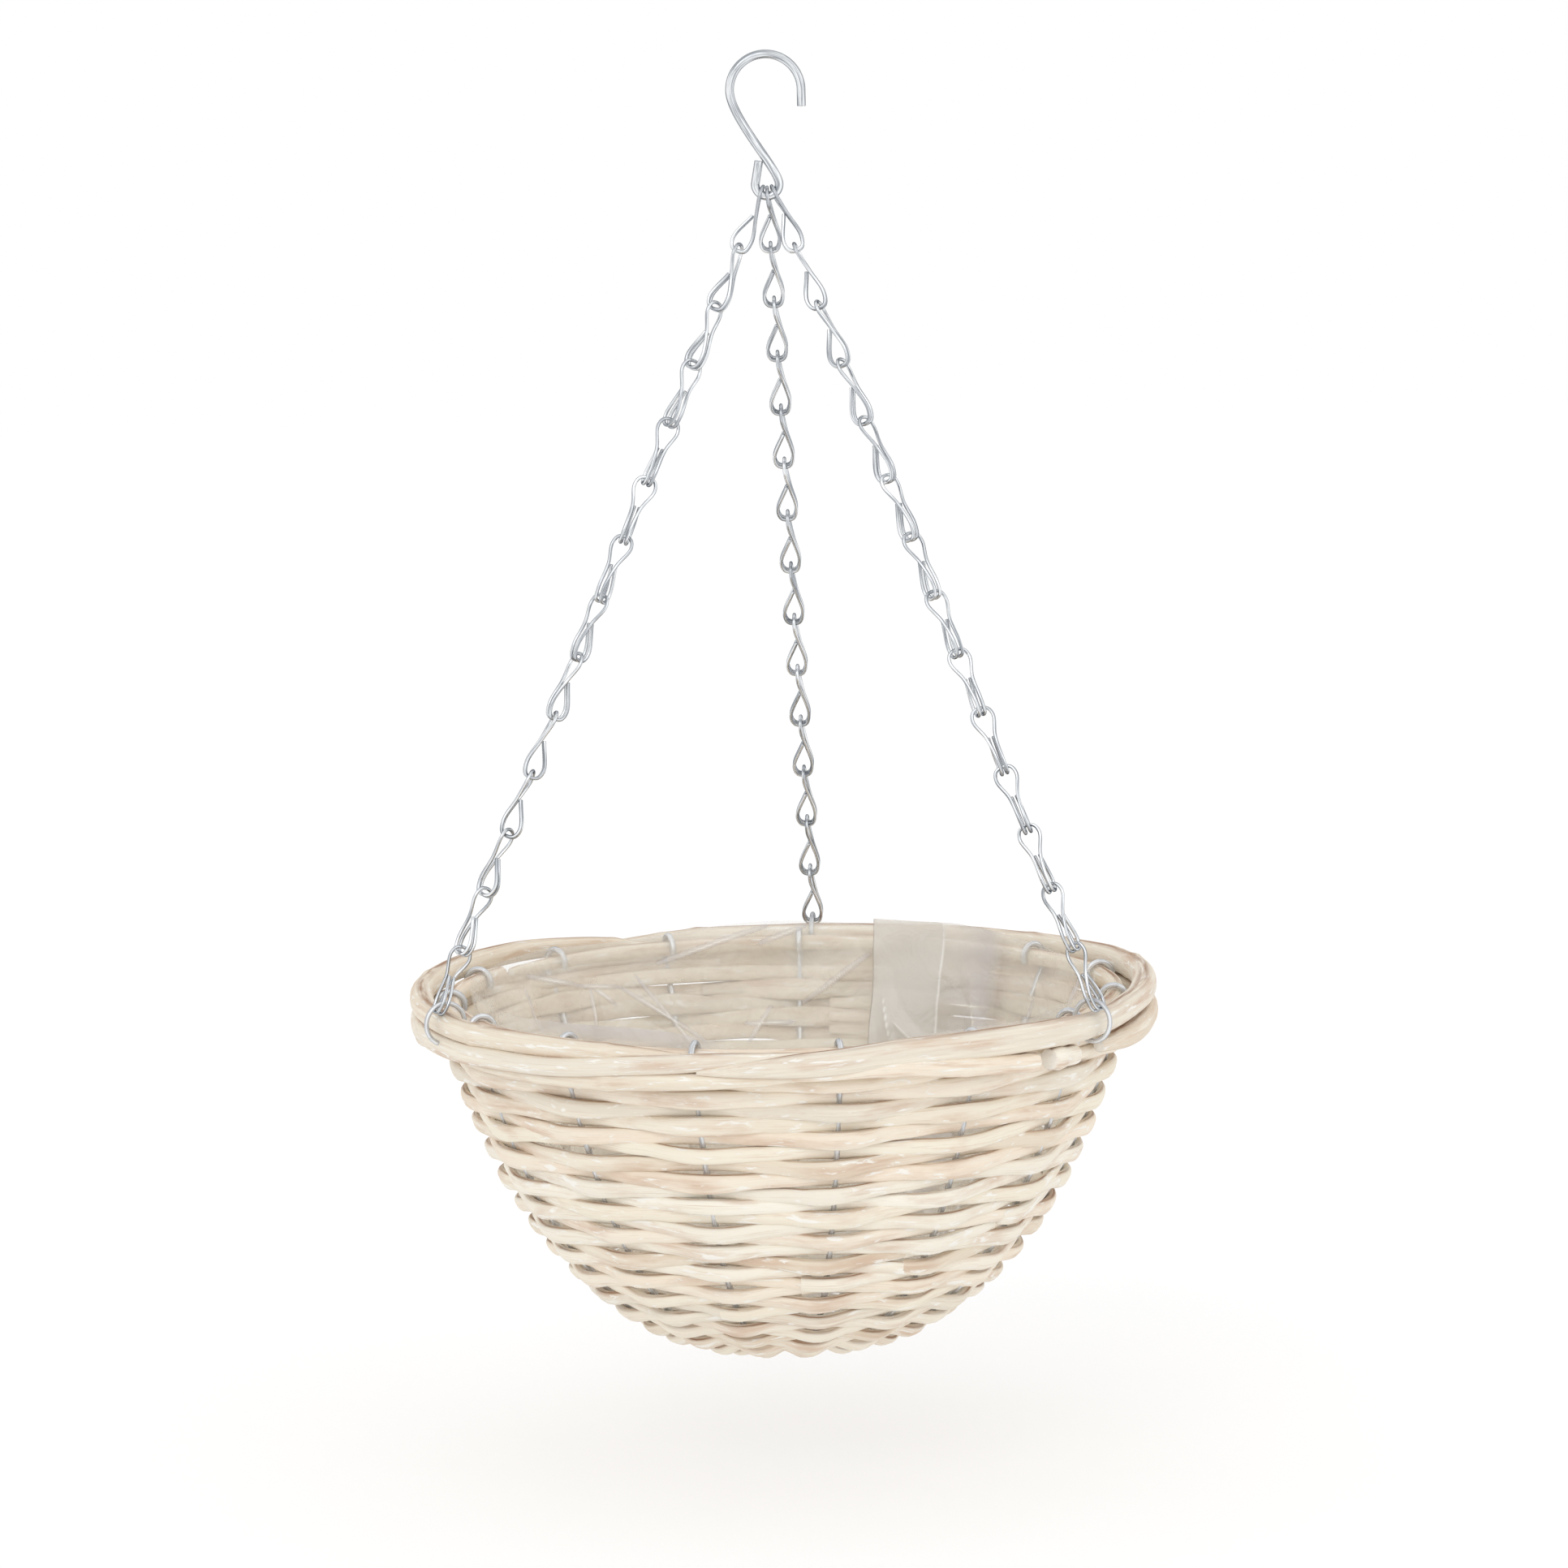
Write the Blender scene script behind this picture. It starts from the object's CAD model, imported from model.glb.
"""Looks of the hanging planter: whitewashed willow on a galvanised frame, film liner, zinc chains.

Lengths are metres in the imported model's frame. Angles round the basket start at the rear (+Y)
and grow towards the right (+X).
"""

import math

import bmesh
import bpy
import numpy as np
from mathutils import Matrix, Vector


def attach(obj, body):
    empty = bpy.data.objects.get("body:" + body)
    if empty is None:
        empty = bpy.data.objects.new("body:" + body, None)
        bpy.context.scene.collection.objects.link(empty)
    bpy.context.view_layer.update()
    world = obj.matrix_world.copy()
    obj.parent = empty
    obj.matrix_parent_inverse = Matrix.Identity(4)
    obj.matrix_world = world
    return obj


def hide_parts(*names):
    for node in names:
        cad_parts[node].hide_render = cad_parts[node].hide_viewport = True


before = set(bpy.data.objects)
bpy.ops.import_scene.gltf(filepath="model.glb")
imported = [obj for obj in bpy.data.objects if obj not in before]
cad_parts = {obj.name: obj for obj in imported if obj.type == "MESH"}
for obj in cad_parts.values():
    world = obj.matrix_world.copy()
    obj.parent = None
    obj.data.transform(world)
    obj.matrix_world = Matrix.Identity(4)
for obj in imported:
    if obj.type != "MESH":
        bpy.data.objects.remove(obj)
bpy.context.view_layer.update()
RNG = np.random.default_rng(1468)

# Sizes shared with part.py
CLEARANCE = 0.0003
HOOK_WIRE = 0.004
HOOK_CROWN_RADIUS = 0.0165
HOOK_TIP_DROP = 0.0075
HOOK_EYE_RADIUS = 0.0055
HOOK_HEIGHT = 0.0633
HOOK_TAIL_RISE = 0.0105
HOOK_TAIL_LEAN = 0.0018
HOOK_SHANK_BEND_SHARES = (0.29, 0.16)
HOOK_LINK_SPREAD = math.radians(36)
LINKS = 14
LINK_WIRE = 0.0016
LINK_EYE_RADIUS = 0.00495
LINK_HOOK_WIDTH = 0.0044
LINK_PAIR_SPACE = 0.0013
LINK_HALF_SHARES = (
    (0.72, 0.0, 0.036, 0.0),
    (1.0, 0.04, 0.16, 0.0),
    (0.42, 0.46, 0.46, 0.0),
    (0.0, 1.0, 0.82, 1.0),
    (0.0, 0.6, 1.0, 1.0),
    (0.0, -0.6, 1.0, 1.0),
    (0.0, -1.0, 0.86, 1.0),
    (0.0, 0.1, 0.46, 0.9),
)
RIM_DEPTH = 0.43
BORDER_ROD = 0.011
BORDER_POINTS = 30
INNER_ROD = 0.0085
RIM_RIB_RADIUS = 0.162
RING_WIRE = 0.0022
RING_INNER_RADIUS = 0.0084
RING_OFFSET = 0.0058
RING_HOOK_TURN = math.radians(30)
RIBS = 15
RIB_WIRE = 0.0028
FIRST_RIB = math.radians(3)
CANE_SWEEP = math.radians(205)
BASE_RING_RADIUS = 0.024
BASE_RING_WIRE = 0.0032
BOWL_RADIUS = 0.1594
BOWL_DEPTH = 0.1697
BOWL_RADIAL_POWER = 2.757
BOWL_DEPTH_POWER = 1.262
FLARE_DEPTH = 0.03
STRAIGHT_DEPTH = 0.012
WEAVE_ROD = 0.006
WEAVE_TOP_PITCH = 0.0062
WEAVE_BASE_PITCH = 0.0076
WEAVE_START_DEPTH = 0.0302
WEAVE_END_RADIUS = 0.0335
WEAVE_RODS = 9
CHAIN_RIBS = {"rear": 0, "right": 5, "left": 10}
HOOK_PLACES = {"left": -1, "rear": 0, "right": 1}
Z_AXIS = Vector((0.0, 0.0, 1.0))


# Shapes shared with part.py

def around(radius, angle, height):
    return Vector((radius * math.sin(angle), radius * math.cos(angle), height))


def rib_angle(index):
    return FIRST_RIB + index * math.tau / RIBS


def border_radius():
    return RIM_RIB_RADIUS + RIB_WIRE / 2 + CLEARANCE + BORDER_ROD / 2


def inner_rod_radius():
    return RIM_RIB_RADIUS - RIB_WIRE / 2 - 2 * CLEARANCE - INNER_ROD / 2


def inner_rod_depth():
    return INNER_ROD / 2 + 2 * CLEARANCE + RIB_WIRE


def bowl_radius(depth):
    level = min(depth / BOWL_DEPTH, 1.0)
    return BOWL_RADIUS * (1 - level**BOWL_DEPTH_POWER) ** (1 / BOWL_RADIAL_POWER)


def bowl_depth(radius):
    level = 1 - (radius / BOWL_RADIUS) ** BOWL_RADIAL_POWER
    return BOWL_DEPTH * level ** (1 / BOWL_DEPTH_POWER)


def rib_radius(depth):
    if depth <= STRAIGHT_DEPTH:
        return RIM_RIB_RADIUS
    if depth >= FLARE_DEPTH:
        return bowl_radius(depth)
    share = (depth - STRAIGHT_DEPTH) / (FLARE_DEPTH - STRAIGHT_DEPTH)
    return RIM_RIB_RADIUS + share * (bowl_radius(FLARE_DEPTH) - RIM_RIB_RADIUS)


def bowl_profile(start_depth, end_radius, count):
    """Points (radius, depth) down the bowl, evenly spaced, and the length along it."""
    swing = np.linspace(0, math.pi / 2, 601)
    radius = BOWL_RADIUS * np.cos(swing)
    depth = BOWL_DEPTH * (1 - (radius / BOWL_RADIUS) ** BOWL_RADIAL_POWER) ** (1 / BOWL_DEPTH_POWER)
    keep = (depth >= start_depth) & (radius >= end_radius)
    radius = np.concatenate([[bowl_radius(start_depth)], radius[keep], [end_radius]])
    depth = np.concatenate([[start_depth], depth[keep], [bowl_depth(end_radius)]])
    runs = np.concatenate([[0], np.cumsum(np.hypot(np.diff(radius), np.diff(depth)))])
    goal = np.linspace(0, runs[-1], count + 1)
    return np.interp(goal, runs, radius), np.interp(goal, runs, depth), runs[-1]


def ring_centre(angle):
    half_step = math.pi / BORDER_POINTS
    flat = math.cos(half_step) / math.cos(half_step - RING_OFFSET / RIM_RIB_RADIUS)
    radius = border_radius() * flat + RING_INNER_RADIUS - CLEARANCE - BORDER_ROD / 2
    return around(radius, angle, -RIM_DEPTH - BORDER_ROD / 2)


def ring_angle(rib):
    return rib_angle(rib) + RING_OFFSET / RIM_RIB_RADIUS


def chain_end(side):
    angle = ring_angle(CHAIN_RIBS[side])
    pair = LINK_PAIR_SPACE + LINK_WIRE / 2
    reach = math.sqrt(RING_INNER_RADIUS**2 - pair**2) - 2 * CLEARANCE - LINK_WIRE / 2
    out = around(math.sin(RING_HOOK_TURN), angle, math.cos(RING_HOOK_TURN))
    return ring_centre(angle) + reach * out


def chain_start(side):
    turn = HOOK_PLACES[side] * HOOK_LINK_SPREAD
    spoke = Vector((math.sin(turn), 0.0, -math.cos(turn)))
    wire_centre = Vector((0.0, 0.0, HOOK_EYE_RADIUS - HOOK_HEIGHT)) + HOOK_EYE_RADIUS * spoke
    line = (chain_end(side) - wire_centre).normalized()
    return wire_centre - ((HOOK_WIRE + LINK_WIRE) / 2 + 3 * CLEARANCE) * line


def link_bite():
    reach = LINK_PAIR_SPACE + LINK_WIRE / 2
    sag = LINK_EYE_RADIUS - math.sqrt(LINK_EYE_RADIUS**2 - reach**2)
    return LINK_WIRE + 2 * CLEARANCE + sag


def chain_frames(side):
    """The placing of each link of a chain, and the links' pitch."""
    start, end = chain_start(side), chain_end(side)
    line = (end - start).normalized()
    x_axis = Vector((1.0, 0.0, 0.0))
    first = (x_axis - x_axis.dot(line) * line).normalized()
    angle = ring_angle(CHAIN_RIBS[side])
    along = Vector((math.cos(angle), -math.sin(angle), 0.0))
    last = (along - along.dot(line) * line).normalized()
    turn = math.atan2(first.cross(last).dot(line), first.dot(last))
    turn = (turn + math.pi / RIBS) % math.tau - math.pi / RIBS
    step = ((end - start).length - link_bite()) / LINKS
    frames = []
    for index in range(LINKS):
        aside = Matrix.Rotation(turn * index / (LINKS - 1), 3, line) @ first
        place = Matrix((aside.cross(-line), aside, -line)).transposed().to_4x4()
        place.translation = start + index * step * line
        frames.append(place)
    return frames, step


# Node materials

NOISE_ROUGHNESS = 0.55


def srgb(red, green, blue):
    """A screen colour, 0 to 255, as a linear colour."""
    shares = [value / 255 for value in (red, green, blue)]
    return tuple(((s + 0.055) / 1.055) ** 2.4 if s > 0.04045 else s / 12.92 for s in shares) + (1.0,)


def feed(tree, socket, value):
    """Links a socket to another one, or sets it to a plain value."""
    if hasattr(value, "is_linked"):
        tree.links.new(value, socket)
    else:
        socket.default_value = value


class Nodes:
    """A short way to build a material's node tree."""

    def __init__(self, name):
        self.material = bpy.data.materials.new(name)
        self.material.use_nodes = True
        self.tree = self.material.node_tree
        self.shader = self.tree.nodes["Principled BSDF"]

    def new(self, kind, **values):
        node = self.tree.nodes.new(kind)
        for key, value in values.items():
            setattr(node, key, value)
        return node

    def link(self, source, target):
        self.tree.links.new(source, target)

    def attribute(self, name, output="Fac"):
        return self.new("ShaderNodeAttribute", attribute_name=name).outputs[output]

    def grain(self, stretch):
        """The piece's own coordinates, scaled along it and across it."""
        mapping = self.new("ShaderNodeMapping")
        mapping.inputs["Scale"].default_value = stretch
        self.link(self.attribute("grain", "Vector"), mapping.inputs["Vector"])
        return mapping.outputs["Vector"]

    def noise(self, vector, detail, warp=0.0):
        node = self.new("ShaderNodeTexNoise")
        node.inputs["Scale"].default_value = 1.0
        node.inputs["Detail"].default_value = detail
        node.inputs["Roughness"].default_value = NOISE_ROUGHNESS
        node.inputs["Distortion"].default_value = warp
        self.link(vector, node.inputs["Vector"])
        return node.outputs["Fac"]

    def ramp(self, source, *stops):
        node = self.new("ShaderNodeValToRGB")
        while len(node.color_ramp.elements) < len(stops):
            node.color_ramp.elements.new(0.5)
        for element, (place, value) in zip(node.color_ramp.elements, stops):
            element.position = place
            element.color = value if hasattr(value, "__len__") else (value, value, value, 1.0)
        self.link(source, node.inputs["Fac"])
        return node.outputs["Color"]

    def mix(self, share, first, second):
        node = self.new("ShaderNodeMix", data_type="RGBA")
        for index, value in ((0, share), (6, first), (7, second)):
            feed(self.tree, node.inputs[index], value)
        return node.outputs[2]

    def math(self, operation, first, second=0.0):
        node = self.new("ShaderNodeMath", operation=operation)
        for socket, value in zip(node.inputs, (first, second)):
            feed(self.tree, socket, value)
        return node.outputs[0]

    def bump(self, height, distance, under=None):
        node = self.new("ShaderNodeBump")
        node.inputs["Distance"].default_value = distance
        node.inputs["Strength"].default_value = 1.0
        self.link(height, node.inputs["Height"])
        if under:
            self.link(under, node.inputs["Normal"])
        self.link(node.outputs["Normal"], self.shader.inputs["Normal"])
        return node.outputs["Normal"]


WILLOW_TONES = (
    (0.0, srgb(227, 213, 193)),
    (0.3, srgb(243, 235, 217)),
    (0.55, srgb(241, 226, 207)),
    (0.8, srgb(246, 241, 228)),
    (1.0, srgb(228, 218, 202)),
)
# Stain, wash, streaks and paint: the noise's stretch, detail and warp, its ramp's stops, the colour
WILLOW_LAYERS = (
    ((26, 120, 120), 4, 0.0, ((0.5, 0.0), (0.7, 0.75)), srgb(208, 178, 154)),
    ((16, 260, 260), 5, 0.4, ((0.45, 0.0), (0.66, 0.8)), srgb(243, 235, 219)),
    ((34, 1500, 1500), 4, 0.0, ((0.55, 0.0), (0.72, 0.5)), srgb(214, 190, 166)),
    ((75, 330, 330), 5, 0.6, ((0.59, 0.0), (0.65, 0.85)), srgb(248, 246, 240)),
)
WILLOW_ROUGHNESS = ((0.0, 0.62), (1.0, 0.8))
WILLOW_LUMPS = 0.0006
WILLOW_FIBRES = 0.00012
PAINT_THICKNESS = 0.00008
BARK_BROWN = srgb(158, 122, 95)
CUT_WOOD = srgb(244, 239, 229)
NO_ZERO_DIVISOR = 1e-6
DULL_ZINC = srgb(150, 152, 154)
ZINC_SHEEN = (0.12, 0.13, 0.15, 1.0)
ZINC_ROUGHNESS_RANGE = 0.14
ZINC_PITS = 0.00001
FILM_HAZE = ((0.3, 0.26), (0.75, 0.44))
FILM_VEIL = ((0.0, 0.0), (0.25, 0.72), (0.6, 0.6), (0.95, 0.95))
FILM_TINT = (
    (0.0, srgb(255, 252, 244)),
    (0.25, srgb(214, 210, 209)),
    (0.6, srgb(241, 237, 230)),
    (0.95, srgb(252, 251, 248)),
)
FILM_ROUGHNESS = 0.12
FILM_RIPPLES = 0.0015


def bark_edge(n):
    """Brown along both edges of a rod, where bark is left, broken up by noise."""
    side = n.new("ShaderNodeSeparateXYZ")
    n.link(n.attribute("grain", "Vector"), side.inputs[0])
    across, out = (n.math("ABSOLUTE", side.outputs[k]) for k in (2, 1))
    edge = n.math("DIVIDE", across, n.math("ADD", n.math("ADD", across, out), NO_ZERO_DIVISOR))
    bark = n.ramp(n.noise(n.grain((30, 400, 400)), detail=4), (0.38, 0.15), (0.6, 1.0))
    return n.math("MULTIPLY", n.ramp(edge, (0.68, 0.0), (0.95, 1.0)), bark)


def willow_material():
    """Stripped willow under a thin, patchy white paint."""
    n = Nodes("whitewashed_willow")
    colour = n.ramp(n.attribute("tone"), *WILLOW_TONES)
    for stretch, detail, warp, stops, layer in WILLOW_LAYERS:
        paint = n.ramp(n.noise(n.grain(stretch), detail, warp), *stops)
        colour = n.mix(paint, colour, layer)
    colour = n.mix(bark_edge(n), colour, BARK_BROWN)
    colour = n.mix(n.attribute("cut"), colour, CUT_WOOD)
    n.link(colour, n.shader.inputs["Base Color"])
    n.link(n.ramp(paint, *WILLOW_ROUGHNESS), n.shader.inputs["Roughness"])
    lumps = n.bump(n.noise(n.grain((60, 160, 160)), detail=2), WILLOW_LUMPS)
    fine = n.bump(n.noise(n.grain((40, 2200, 2200)), detail=3), WILLOW_FIBRES, under=lumps)
    n.bump(paint, PAINT_THICKNESS, under=fine)
    n.shader.inputs["Specular IOR Level"].default_value = 0.3
    return n.material


def zinc_material(name, dark, light, roughness, spots, metallic):
    """Plated wire: a bright metal with drawn streaks and small dull spots."""
    n = Nodes(name)
    streak = n.noise(n.grain((60, 1500, 1500)), detail=3)
    colour = n.mix(n.ramp(streak, (0.4, 0.0), (0.6, 1.0)), dark, light)
    dull = n.ramp(n.noise(n.grain((420, 420, 420)), detail=4), (0.56, 0.0), (0.7, spots))
    n.link(n.mix(dull, colour, DULL_ZINC), n.shader.inputs["Base Color"])
    shine = n.noise(n.grain((160, 900, 900)), detail=2)
    shine = n.ramp(shine, (0.3, roughness), (0.7, roughness + ZINC_ROUGHNESS_RANGE))
    n.link(shine, n.shader.inputs["Roughness"])
    n.bump(n.noise(n.grain((300, 900, 900)), detail=1), ZINC_PITS)
    n.shader.inputs["Metallic"].default_value = metallic
    n.shader.inputs["Specular Tint"].default_value = ZINC_SHEEN
    return n.material


def film_material():
    """Clear polythene, milky where it is folded and along its creases."""
    n = Nodes("clear_polythene")
    crease = n.attribute("crease")
    haze = n.ramp(n.noise(n.grain((30, 30, 30)), detail=3, warp=0.5), *FILM_HAZE)
    veil = n.ramp(crease, *FILM_VEIL)
    n.link(n.math("MAXIMUM", haze, veil), n.shader.inputs["Alpha"])
    n.link(n.ramp(crease, *FILM_TINT), n.shader.inputs["Base Color"])
    n.shader.inputs["Roughness"].default_value = FILM_ROUGHNESS
    n.shader.inputs["Specular IOR Level"].default_value = 0.6
    n.bump(n.noise(n.grain((55, 55, 55)), detail=3, warp=0.8), FILM_RIPPLES)
    return n.material


WILLOW = willow_material()
ZINC_TONES = (srgb(158, 163, 169), srgb(242, 244, 246))
GALVANISED_TONES = (srgb(196, 198, 201), srgb(236, 238, 240))
ZINC = zinc_material("bright_zinc_wire", *ZINC_TONES, 0.12, 0.12, 1.0)
GALVANISED = zinc_material("galvanised_wire", *GALVANISED_TONES, 0.26, 0.3, 0.6)
FILM = film_material()


# Swept wires and rods

# The rings of a closed end: share of the full section, and share of the cap's depth beyond the path
CAP_RINGS = ((0.0, 1.0), (0.86, 1.0), (0.97, 0.5))
CUT_SHARE = 0.9
WELD_DISTANCE = 1e-6
ALONG_THE_AXIS = 0.2


class Mesh:
    """Gathers swept tubes into one mesh, with their grain, tone and cut ends."""

    def __init__(self):
        self.points, self.faces, self.grain, self.tone, self.cut = [], [], [], [], []

    def tube(self, path, wide, thick, sides, up=None, closed=False, tone=0.5, offset=0.0, cap=0.0,
             oval=1.0, bark=1.0):
        """Sweeps an oval along a path; up is the direction of each section's thickness.

        An oval below 1 makes the section squarer, and a bark above 1 widens the brown along its edges.
        """
        path = np.asarray(path, float)
        total = len(path)
        wide = np.broadcast_to(np.asarray(wide, float), total) / 2
        thick = np.broadcast_to(np.asarray(thick, float), total) / 2
        tangent, up, side, run = sweep_axes(path, up, closed)
        inset = min(cap, wide[0] * 0.5)
        rings = [(i, 1.0, 0.0) for i in range(total)]
        if not closed:
            rings = [(0, share, -beyond) for share, beyond in CAP_RINGS] + rings
            rings += [(total - 1, share, beyond) for share, beyond in reversed(CAP_RINGS)]
        turn = np.arange(sides) * math.tau / sides
        cosine, sine = (np.sign(c) * np.abs(c) ** oval for c in (np.cos(turn), np.sin(turn)))
        self.add_quads(len(rings), sides, closed)
        for i, share, beyond in rings:
            section = np.outer(cosine * thick[i], up[i]) + np.outer(sine * wide[i], side[i])
            self.points.append(path[i] + (beyond * inset) * tangent[i] + share * section)
            radius = (wide[i] + thick[i]) / 2
            line = np.full(sides, run[i] + offset)
            across = (cosine * radius * share, bark * sine * radius * share)
            self.grain.append(np.column_stack([line, *across]))
            self.cut.append(np.full(sides, float(share < CUT_SHARE)))
            self.tone.append(np.full(sides, tone))

    def add_quads(self, count, sides, closed):
        """Faces between the rings that are about to be added."""
        first = sum(len(block) for block in self.points)
        for a in range(count if closed else count - 1):
            b = (a + 1) % count
            for k in range(sides):
                m = (k + 1) % sides
                quad = (a * sides + k, a * sides + m, b * sides + m, b * sides + k)
                self.faces.append(tuple(first + q for q in quad))

    def build(self, name, material, body, slot, *nodes):
        """The finished piece, riding on its body in place of its nodes."""
        mesh = bpy.data.meshes.new(name)
        mesh.from_pydata(np.concatenate(self.points).tolist(), [], self.faces)
        add_attribute(mesh, "grain", np.concatenate(self.grain))
        add_attribute(mesh, "tone", np.concatenate(self.tone))
        add_attribute(mesh, "cut", np.concatenate(self.cut))
        weld_ends(mesh)
        add_piece(mesh, name, material, body, slot, *nodes)


def add_attribute(mesh, name, values):
    """A value for each point of a mesh, a vector where the values have two dimensions."""
    kind, field = ("FLOAT_VECTOR", "vector") if values.ndim > 1 else ("FLOAT", "value")
    layer = mesh.attributes.new(name, kind, "POINT")
    layer.data.foreach_set(field, values.astype(np.float32).ravel())


def add_piece(mesh, name, material, body, slot, *nodes):
    mesh.shade_smooth()
    mesh.materials.append(material)
    piece = bpy.data.objects.new(name, mesh)
    bpy.context.scene.collection.objects.link(piece)
    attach(piece, body)
    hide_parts(*nodes)
    return piece


def weld_ends(mesh):
    """Joins the points of each closed end into one."""
    work = bmesh.new()
    work.from_mesh(mesh)
    bmesh.ops.remove_doubles(work, verts=work.verts, dist=WELD_DISTANCE)
    bmesh.ops.recalc_face_normals(work, faces=work.faces)
    work.to_mesh(mesh)
    work.free()


def sweep_axes(path, up, closed):
    """Each point's direction along the path, its up and side directions, and the run to it."""
    if closed:
        tangent = np.roll(path, -1, 0) - np.roll(path, 1, 0)
    else:
        tangent = np.gradient(path, axis=0)
    tangent /= np.linalg.norm(tangent, axis=1)[:, None]
    if up is None:
        up = carried(tangent)
    up = up - (up * tangent).sum(1)[:, None] * tangent
    up /= np.linalg.norm(up, axis=1)[:, None]
    run = np.concatenate([[0], np.cumsum(np.linalg.norm(np.diff(path, axis=0), axis=1))])
    return tangent, up, np.cross(tangent, up), run


def carried(tangent):
    """A direction across the path, carried along it without twist."""
    first = np.cross(tangent[0], [0.0, 1.0, 0.0])
    if np.linalg.norm(first) < ALONG_THE_AXIS:
        first = np.cross(tangent[0], [1.0, 0.0, 0.0])
    across = [first / np.linalg.norm(first)]
    for line in tangent[1:]:
        step = across[-1] - (across[-1] @ line) * line
        across.append(step / np.linalg.norm(step))
    return np.array(across)


def outward(angle):
    """The level directions away from the basket's axis at some angles."""
    return np.column_stack([np.sin(angle), np.cos(angle), np.zeros(len(angle))])


def smooth(points, steps, closed=False):
    """A centripetal Catmull-Rom curve through points."""
    points = [np.asarray(p, float) for p in points]
    if closed:
        points = [points[-1]] + points + points[:2]
    else:
        points = [2 * points[0] - points[1]] + points + [2 * points[-1] - points[-2]]
    out = []
    for i in range(1, len(points) - 2):
        p = points[i - 1 : i + 3]
        t = [0.0]
        for a, b in zip(p, p[1:]):
            t.append(t[-1] + max(np.linalg.norm(b - a), 1e-7) ** 0.5)
        for s in np.linspace(t[1], t[2], steps, endpoint=False):
            a = [((t[k + 1] - s) * p[k] + (s - t[k]) * p[k + 1]) / (t[k + 1] - t[k]) for k in range(3)]
            b = [((t[k + 2] - s) * a[k] + (s - t[k]) * a[k + 1]) / (t[k + 2] - t[k]) for k in range(2)]
            out.append(((t[2] - s) * b[0] + (s - t[1]) * b[1]) / (t[2] - t[1]))
    if not closed:
        out.append(points[-2])
    return np.array(out)


def wander(run, size, *lengths):
    """A smooth random offset along a run, a sum of waves of the given lengths."""
    total = np.zeros(len(run))
    for length in lengths:
        total += np.sin(math.tau * (run / length + RNG.random())) * RNG.uniform(0.5, 1.0)
    return size * total / len(lengths)


# Metal pieces

TIP_STEPS = 5
CROWN_STEPS = 48
SHANK_STEPS = 40
EYE_STEPS = 32
TAIL_STEPS = 6
HOOK_SIDES = 28
HOOK_CAP = 0.00025
LINK_CURVE_STEPS = 7
LINK_SIDES = 12
LINK_CAP = 0.00012
LINK_GRAIN_SHIFT = 0.37
RING_START = math.radians(-84)
RING_SWEEP = math.radians(358)
RING_STEPS = 64
RING_SIDES = 16
RING_CAP = 0.00015
RIB_STEPS = 40
RIB_BEND_DEPTHS = (0.024, 0.018, STRAIGHT_DEPTH)
CANE_STEPS = 24
RIB_SIDES = 14
RIB_CAP = 0.0002
RIB_GRAIN_SHIFT = 0.41
BASE_RING_STEPS = 72
FRONT_SINK = 0.0018
FRONT_SINK_SHARE = -1.6


def hook_arc(centre, radius, turn, steps):
    """Points round a centre in the hook's plane, from its +X side."""
    turns = [turn * step / steps for step in range(steps + 1)]
    return [centre + radius * Vector((math.cos(t), 0.0, math.sin(t))) for t in turns]


def hook_shank(start, end):
    """Points between start and end, on a curve that leaves and meets them upright."""
    first_bend, last_bend = ((start.z - end.z) * share for share in HOOK_SHANK_BEND_SHARES)
    points = []
    for step in range(1, SHANK_STEPS):
        s = step / SHANK_STEPS
        r = 1 - s
        points.append(
            r**3 * start
            + 3 * r**2 * s * (start - first_bend * Z_AXIS)
            + 3 * r * s**2 * (end + last_bend * Z_AXIS)
            + s**3 * end
        )
    return points


def make_hook():
    crown = Vector((0.0, 0.0, HOOK_WIRE / 2 - HOOK_CROWN_RADIUS))
    eye = Vector((0.0, 0.0, HOOK_EYE_RADIUS - HOOK_HEIGHT))
    path = []
    for step in range(TIP_STEPS):
        drop = HOOK_TIP_DROP * (1 - step / TIP_STEPS)
        path.append(crown + Vector((HOOK_CROWN_RADIUS, 0.0, -drop)))
    path += hook_arc(crown, HOOK_CROWN_RADIUS, math.pi, CROWN_STEPS)
    path += hook_shank(path[-1], eye + Vector((HOOK_EYE_RADIUS, 0.0, 0.0)))
    path += hook_arc(eye, HOOK_EYE_RADIUS, -math.pi, EYE_STEPS)
    last = path[-1]
    for step in range(1, TAIL_STEPS + 1):
        path.append(last + step / TAIL_STEPS * Vector((HOOK_TAIL_LEAN, 0.0, HOOK_TAIL_RISE)))
    mesh = Mesh()
    up = np.tile([0.0, 1.0, 0.0], (len(path), 1))
    mesh.tube(path, HOOK_WIRE, HOOK_WIRE, HOOK_SIDES, up=up, cap=HOOK_CAP)
    mesh.build("hook_wire", ZINC, "hook", "zinc", "s_hook")


def link_curve(length):
    """The folded wire of a link, from one of its ends to the other."""
    half = []
    for across, aside, down, spread in LINK_HALF_SHARES:
        x = across * LINK_EYE_RADIUS + spread * LINK_PAIR_SPACE
        half.append(Vector((x, aside * LINK_HOOK_WIDTH, -down * length)))
    other_half = [Vector((-p.x, p.y, p.z)) for p in reversed(half)]
    return smooth(other_half + [Vector()] + half, LINK_CURVE_STEPS)


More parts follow.
